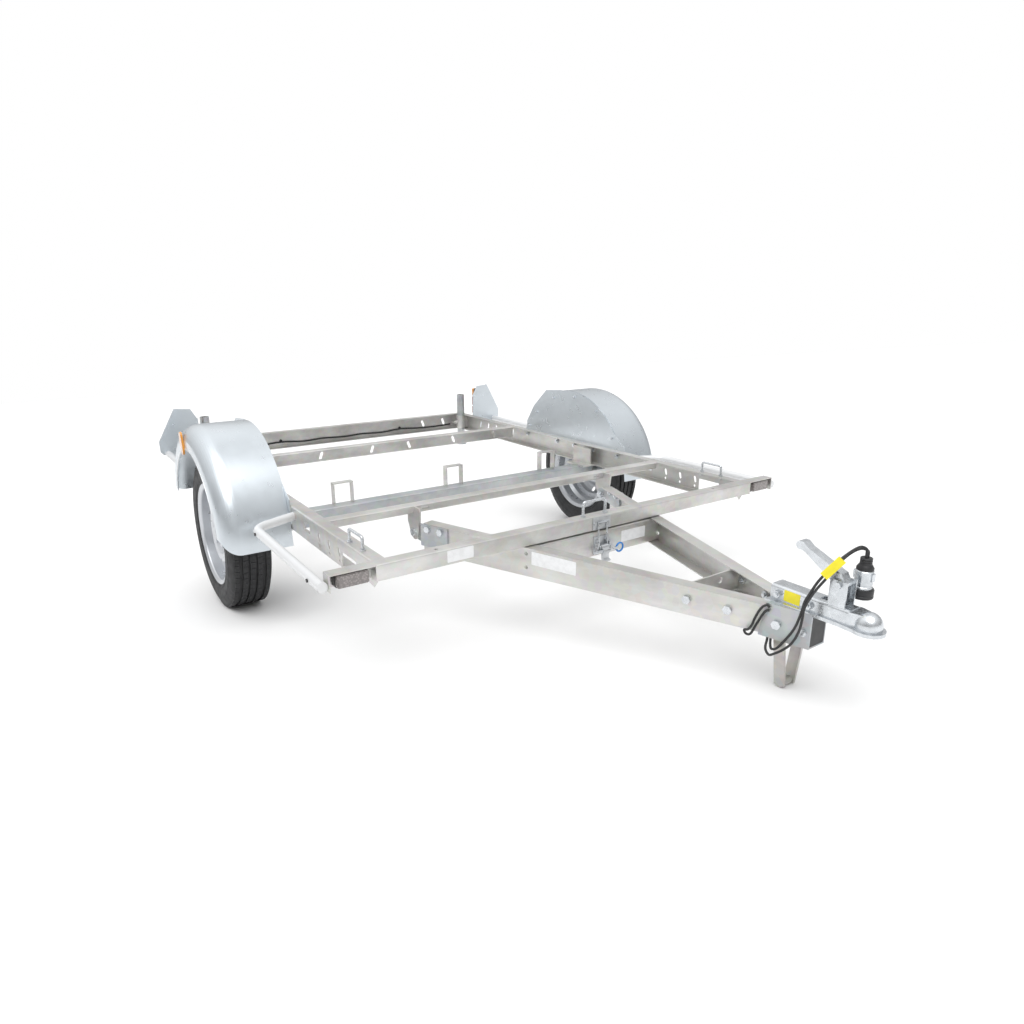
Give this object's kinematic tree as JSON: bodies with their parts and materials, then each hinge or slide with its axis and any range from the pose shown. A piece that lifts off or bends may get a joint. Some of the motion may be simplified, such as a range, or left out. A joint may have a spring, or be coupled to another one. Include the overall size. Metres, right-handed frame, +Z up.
{
  "type": "tilting trailer chassis",
  "caption": "Single-axle car trailer chassis with folded channel bed frame, A-shaped drawbar on tilt pivots, mudguards, side guard tubes and lamps.",
  "frame": {"origin": "on the ground, below the centre of the bounding box", "axes": "+X towards the coupling at the front, +Y to the left, +Z up; the chassis rests nose-down by about six degrees on its tyres and its prop stand"},
  "size_m": [2.9489, 1.9386, 0.6937],
  "materials": {
    "galvanised": "satin galvanised sheet steel",
    "bright_zinc": "bright zinc plated",
    "silver_paint": "smooth silver",
    "white_tube": "semi-gloss white grey",
    "black_rubber": "matt",
    "tyre_rubber": "matt",
    "black_plastic": "matt",
    "lens_clear": "clear gloss lens",
    "lens_red": "red gloss lens",
    "lens_amber": "amber gloss",
    "wheel_silver": "silver paint",
    "yellow_tag": "satin"
  },
  "bodies": {
    "bed": {"front_beam": "galvanised", "rear_beam": "galvanised", "side_rail_left": "galvanised", "side_rail_right": "galvanised", "slotted_cross_member": "galvanised", "pivot_cross_member": "galvanised", "pivot_brackets": "galvanised", "pivot_bolts": "bright_zinc", "floor_supports": "galvanised", "axle_tube": "galvanised", "axle_brackets": "galvanised", "corner_lamp_brackets": "galvanised", "marker_lamps": "lens_clear", "corner_gussets": "galvanised", "mudguard_left": "silver_paint", "mudguard_right": "silver_paint", "mudguard_plates": "silver_paint", "frame_bolts": "bright_zinc", "side_guards": "white_tube", "rear_lamp_housings": "silver_paint", "rear_lamps": "lens_red", "side_reflectors": "lens_amber", "tie_down_loops": "bright_zinc", "latch_catch": "bright_zinc", "bed_harness": "black_rubber", "rubber_plugs": "black_rubber", "leg_clamps": "galvanised"},
    "drawbar": {"drawbar_beam_left": "galvanised", "drawbar_beam_right": "galvanised", "drawbar_cross_piece": "galvanised", "pivot_ears": "galvanised", "nose_cross_plate": "galvanised", "coupling_sleeve": "galvanised", "sleeve_plug": "black_plastic", "prop_stand": "galvanised", "drawbar_bolts": "bright_zinc", "latch_base": "bright_zinc", "coupling_body": "bright_zinc", "coupling_bolts": "bright_zinc", "plug_holder": "bright_zinc", "plug_body": "black_plastic", "plug_cables": "black_rubber", "cable_tag": "yellow_tag"},
    "coupling_lever": {"coupling_handle": "bright_zinc"},
    "ball_pawl": {"coupling_pawl": "bright_zinc"},
    "latch_handle": {"latch_lever": "bright_zinc"},
    "latch_hook": {"latch_bail": "bright_zinc"},
    "lock_pin": {"linch_pin": "bright_zinc"},
    "arm_left": {"swing_arm_left": "bright_zinc"},
    "wheel_left": {"hub_left": "bright_zinc", "rim_left": "wheel_silver", "tyre_left": "tyre_rubber", "wheel_bolts_left": "bright_zinc"},
    "leg_left": {"rear_leg_left": "galvanised"},
    "arm_right": {"swing_arm_right": "bright_zinc"},
    "wheel_right": {"hub_right": "bright_zinc", "rim_right": "wheel_silver", "tyre_right": "tyre_rubber", "wheel_bolts_right": "bright_zinc"},
    "leg_right": {"rear_leg_right": "galvanised"}
  },
  "joints": [
    {"name": "bed_tilt", "type": "hinge", "parent": "drawbar", "child": "bed", "pos_m": [0.13631, 0, 0.28318], "axis": [0, -1, 0], "range_deg": [0, 14]},
    {"name": "arm_swing_left", "type": "hinge", "parent": "bed", "child": "arm_left", "pos_m": [-0.33087, 0.742, 0.29648], "axis": [0, 1, 0], "range_deg": [-3, 10], "stiffness_Nm_per_rad": 2400, "springref_deg": -1.72},
    {"name": "wheel_spin_left", "type": "hinge", "parent": "arm_left", "child": "wheel_left", "pos_m": [-0.46325, 0.855, 0.27], "axis": [0, 1, 0], "continuous": true},
    {"name": "leg_slide_left", "type": "slide", "parent": "bed", "child": "leg_left", "axis": [-0.1032, 0, -0.9947], "range_m": [-0.05, 0.1]},
    {"name": "arm_swing_right", "type": "hinge", "parent": "bed", "child": "arm_right", "pos_m": [-0.33087, -0.742, 0.29648], "axis": [0, 1, 0], "range_deg": [-3, 10], "stiffness_Nm_per_rad": 2400, "springref_deg": -1.72},
    {"name": "wheel_spin_right", "type": "hinge", "parent": "arm_right", "child": "wheel_right", "pos_m": [-0.46325, -0.855, 0.27], "axis": [0, 1, 0], "continuous": true},
    {"name": "leg_slide_right", "type": "slide", "parent": "bed", "child": "leg_right", "axis": [-0.1032, 0, -0.9947], "range_m": [-0.05, 0.1]},
    {"name": "coupling_lever_lift", "type": "hinge", "parent": "drawbar", "child": "coupling_lever", "pos_m": [1.37975, 0, 0.29087], "axis": [0, 1, 0], "range_deg": [0, 30]},
    {"name": "ball_pawl_slide", "type": "slide", "parent": "drawbar", "child": "ball_pawl", "axis": [-0.9947, 0, 0.1032], "range_m": [0, 0.008]},
    {"name": "latch_hook_swing", "type": "hinge", "parent": "drawbar", "child": "latch_hook", "pos_m": [0.5767, 0.015, 0.22542], "axis": [0, 1, 0], "range_deg": [0, 50]},
    {"name": "latch_handle_swing", "type": "hinge", "parent": "drawbar", "child": "latch_handle", "pos_m": [0.5767, 0.015, 0.22542], "axis": [0, -1, 0], "range_deg": [0, 25]},
    {"name": "lock_pin_pull", "type": "slide", "parent": "latch_handle", "child": "lock_pin", "axis": [0, 1, 0], "range_m": [0, 0.07]}
  ],
  "couplings": [
    {"joint": "latch_hook_swing", "follows": "bed_tilt", "ratio": 3.57},
    {"joint": "latch_handle_swing", "follows": "bed_tilt", "ratio": 1.785},
    {"joint": "ball_pawl_slide", "follows": "coupling_lever_lift", "m_per_rad": 0.0152}
  ]
}
